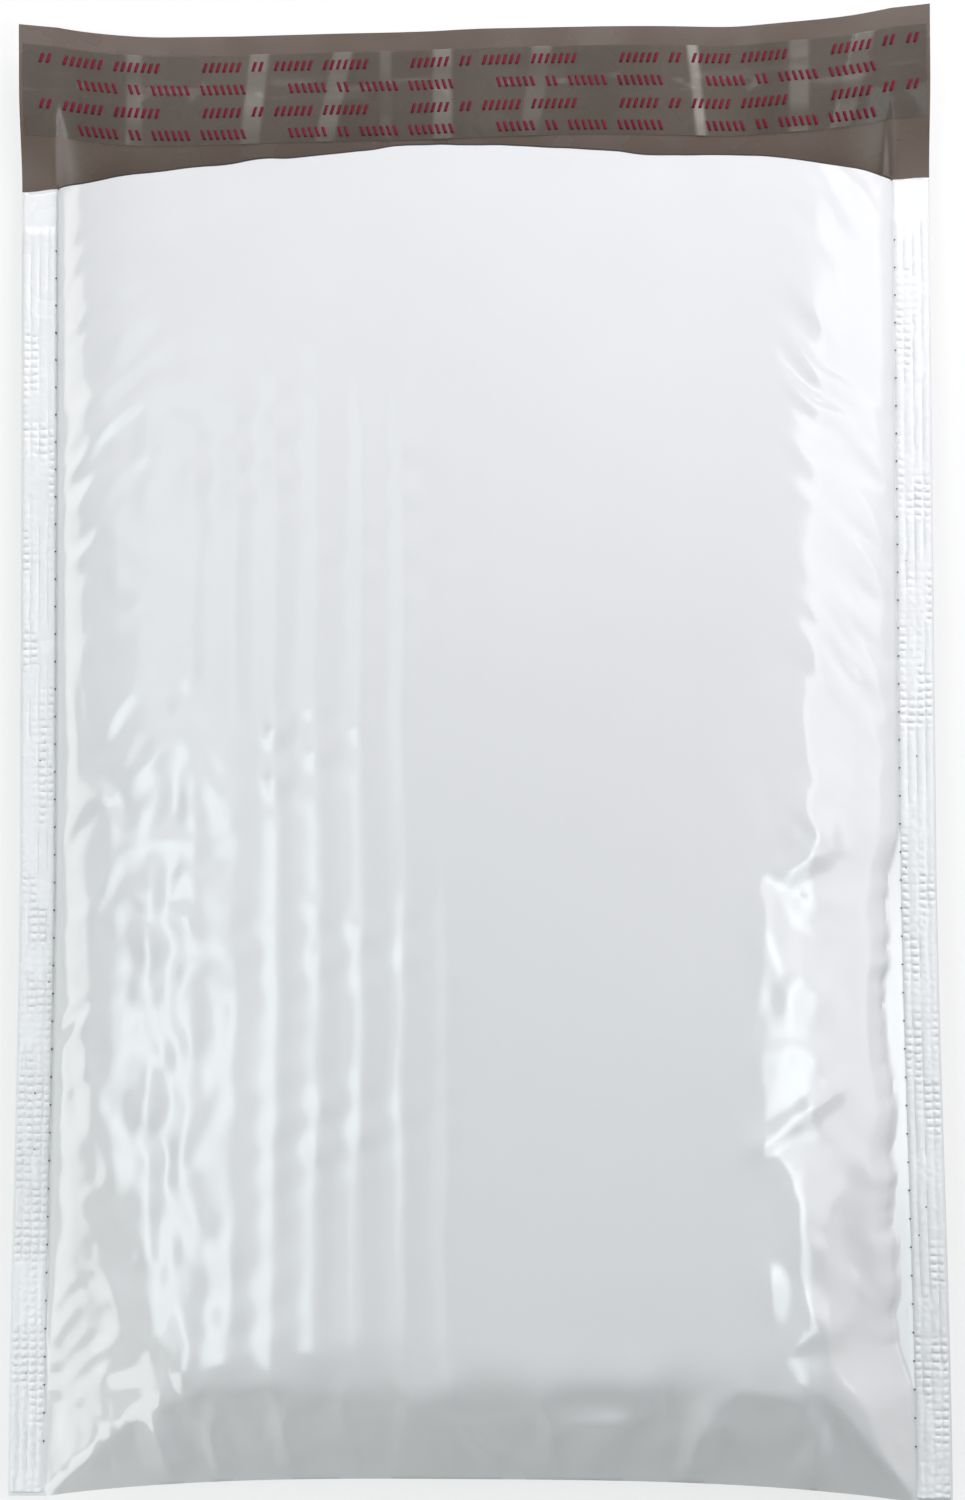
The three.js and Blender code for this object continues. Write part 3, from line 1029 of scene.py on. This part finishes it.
def lining_skin(lines, shares, inset, level, bubbled):
    in_front = level is front_level
    x, y = rows_between(lines, lambda x: fold_line(x) + inset, lining_end, shares)
    x = x * (1 - inset / (BAG_WIDTH / 2))
    z = level(x, y, inset, LINING_HALF)
    if in_front:
        drop = lerp(*LINING_DROP, smooth(y - fold_line(x), *LINING_DROP_FADE))
        z = z - drop * smooth(rise(x, y, inset), 0.02, 0.22)
    if bubbled:
        crushed = smooth(rise(x, y, inset), 0.3, 0.8)
        z = z - (1 if in_front else -1) * BUBBLE_HEIGHT * (1 - bubble_height(x, y)) * crushed
    return np.stack([x, y, z], 2)


def make_lining():
    """Outer skins with bubbles and inner skins without, joined round the sides, the fold and the mouth."""
    lines = even(-1, 1, LINING_STEP / (BAG_WIDTH / 2))
    by_fold = np.linspace(0, LINING_FOLD_SHARE, LINING_FOLD_ROWS + 1)[:-1]
    shares = np.append(by_fold, even(LINING_FOLD_SHARE, 1, LINING_STEP / POCKET_DEPTH))
    inner = LINING_INSET + BUBBLE_HEIGHT + LINING_BASE
    skins = [
        lining_skin(lines, shares, LINING_INSET, front_level, True),
        lining_skin(lines, shares, LINING_INSET, back_level, True),
        lining_skin(lines, shares, inner, back_level, False),
        lining_skin(lines, shares, inner, front_level, False),
    ]
    rows, columns = skins[0].shape[:2]
    count = rows * columns
    faces = []
    for k, upward in enumerate((True, False, True, False)):
        sheet = grid_faces(rows, columns, k * count)
        faces += (sheet if upward else sheet[:, ::-1]).tolist()

    def outline(skin):
        """Its border round the sides and the fold, and its border along the mouth."""
        at = np.arange(count).reshape(rows, columns) + skin * count
        return at[:, 0][::-1].tolist() + at[0, 1:].tolist() + at[1:, -1].tolist(), at[-1].tolist()

    SIDES, MOUTH = 0, 1
    for skin, other, border, reverse in (
        (0, 1, SIDES, True),
        (3, 2, SIDES, False),
        (0, 3, MOUTH, False),
        (1, 2, MOUTH, True),
    ):
        edge, under = outline(skin)[border], outline(other)[border]
        for face in zip(edge, edge[1:], under[1:], under):
            faces.append(list(face[::-1] if reverse else face))
    return mesh_piece("bubble_sheet", np.concatenate([k.reshape(-1, 3) for k in skins]), faces)


bubble_film = film_finish(
    "bubble_film",
    colors=((0.58, 0.6, 0.6), (0.68, 0.7, 0.7)),
    gloss=(0.1, 0.25),
    cloud_size=20,
    grain=(2, 0.01),
)

lining = make_lining()
dress(lining, "bubble_sheet", bubble_film)
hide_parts("bubble_lining")


# Floor, backdrop and light, in metres and watts
FLOOR_SIZE = 40
BACKDROP_RADIUS = 19
BACKDROP_HEIGHT = 9
BACKDROP_MIDDLE = 4.4
BACKDROP_SHADE = (0.965, 0.965, 0.965, 1)
BACKDROP_SHARE = 0.7  # how much of the floor and backdrop is that shade; the rest is lit and shadowed
ROOM_COLOR = (0.9, 0.95, 1, 1)
ROOM_STRENGTH = 0.03
VIOLET = (0.985, 0.965, 1)
GREENISH = (0.88, 1, 0.99)
WHITE = (1, 1, 1)
LAMPS = (  # name, place, target, size across and along the bag, power and colour
    ("back_softbox", (0.1, 0.5, 0.36), (0.03, 0.1, 0), (0.7, 0.3), 3.15, VIOLET),
    ("left_window", (-0.42, -0.19, 0.8), (0, -0.1, 0), (0.34, 0.46), 1.0, GREENISH),
    ("left_strip", (-0.4, -0.19, 0.8), (0, -0.1, 0), (0.15, 0.44), 0.36, GREENISH),
    ("right_strip", (0.37, -0.23, 0.8), (0, -0.1, 0), (0.12, 0.36), 0.2, GREENISH),
    ("left_inner_window", (-0.18, -0.1, 0.8), (0, -0.1, 0), (0.12, 0.4), 0.1, GREENISH),
    ("right_window", (0.385, -0.23, 0.8), (0, -0.1, 0), (0.26, 0.36), 0.65, GREENISH),
    ("upper_left_window", (-0.36, 0.16, 0.8), (0, 0.1, 0), (0.3, 0.26), 0.24, GREENISH),
    ("upper_right_window", (0.385, 0.14, 0.8), (0, 0.1, 0), (0.2, 0.36), 0.12, VIOLET),
    ("right_middle_window", (0.5, 0.07, 0.5), (0.05, 0.08, 0), (0.6, 0.52), 2.1, VIOLET),
    ("left_side", (-0.7, 0, 0.25), (0, 0, 0), (0.3, 0.7), 1.6, WHITE),
    ("right_side", (0.7, 0.08, 0.25), (0, 0.05, 0), (0.3, 0.7), 0.2, WHITE),
    ("low_left_lamp", (-0.25, -0.3, 0.16), (-0.08, -0.15, 0), (0.12, 0.12), 0.15, WHITE),
)


def soft_light(name, place, target, size, power, color):
    """A rectangular lamp that faces its target; the second of its sides runs along the bag."""
    bpy.ops.object.light_add(type="AREA", location=place)
    lamp = bpy.context.object
    lamp.name = name
    lamp.data.shape = "RECTANGLE"
    lamp.data.size, lamp.data.size_y = size
    lamp.data.energy = power
    lamp.data.color = color
    back = (Vector(place) - Vector(target)).normalized()
    right = Vector((0, 1, 0)).cross(back).normalized()
    lamp.rotation_euler = Matrix((right, back.cross(right), back)).transposed().to_euler()


def add_maths(material, operation, a, b):
    """A maths node on a socket and on another socket or a number."""
    node = add_node(material, "Math")
    node.operation = operation
    material.node_tree.links.new(a, node.inputs[0])
    if isinstance(b, float):
        node.inputs[1].default_value = b
    else:
        material.node_tree.links.new(b, node.inputs[1])
    return node.outputs[0]


def stage_finish():
    """Matt and pale, and partly a plain shade where the camera or a mirroring surface sees it."""
    material = film_finish(
        "floor",
        colors=((0.895, 0.895, 0.895), (0.905, 0.905, 0.905)),
        gloss=(0.85, 0.95),
        cloud_size=300,
        grain=(5, 0.01),
    )
    path = add_node(material, "LightPath").outputs
    mirrored = add_maths(material, "MAXIMUM", path["Is Glossy Ray"], path["Is Transmission Ray"])
    seen = add_maths(material, "MAXIMUM", path["Is Camera Ray"], mirrored)
    mix = add_node(material, "MixShader")
    link = material.node_tree.links.new
    link(add_maths(material, "MULTIPLY", seen, BACKDROP_SHARE), mix.inputs[0])
    link(material.node_tree.nodes["Principled BSDF"].outputs[0], mix.inputs[1])
    link(add_node(material, "Emission", Color=BACKDROP_SHADE).outputs[0], mix.inputs[2])
    link(mix.outputs[0], material.node_tree.nodes["Material Output"].inputs["Surface"])
    return material


def set_stage():
    material = stage_finish()
    bpy.ops.mesh.primitive_plane_add(size=FLOOR_SIZE, location=(0, 0, 0))
    floor = bpy.context.object
    floor.name = "floor"
    floor.data.materials.append(material)
    bpy.ops.mesh.primitive_cylinder_add(
        vertices=96,
        radius=BACKDROP_RADIUS,
        depth=BACKDROP_HEIGHT,
        end_fill_type="NOTHING",
        location=(0, 0, BACKDROP_MIDDLE),
    )
    backdrop = bpy.context.object
    backdrop.name = "backdrop"
    backdrop.data.materials.append(material)


def light_room():
    world = bpy.data.worlds.new("room")
    bpy.context.scene.world = world
    world.use_nodes = True
    background = world.node_tree.nodes["Background"]
    background.inputs["Color"].default_value = ROOM_COLOR
    background.inputs["Strength"].default_value = ROOM_STRENGTH
    for lamp in LAMPS:
        soft_light(*lamp)


set_stage()
light_room()
bpy.context.scene.view_settings.view_transform = "Standard"
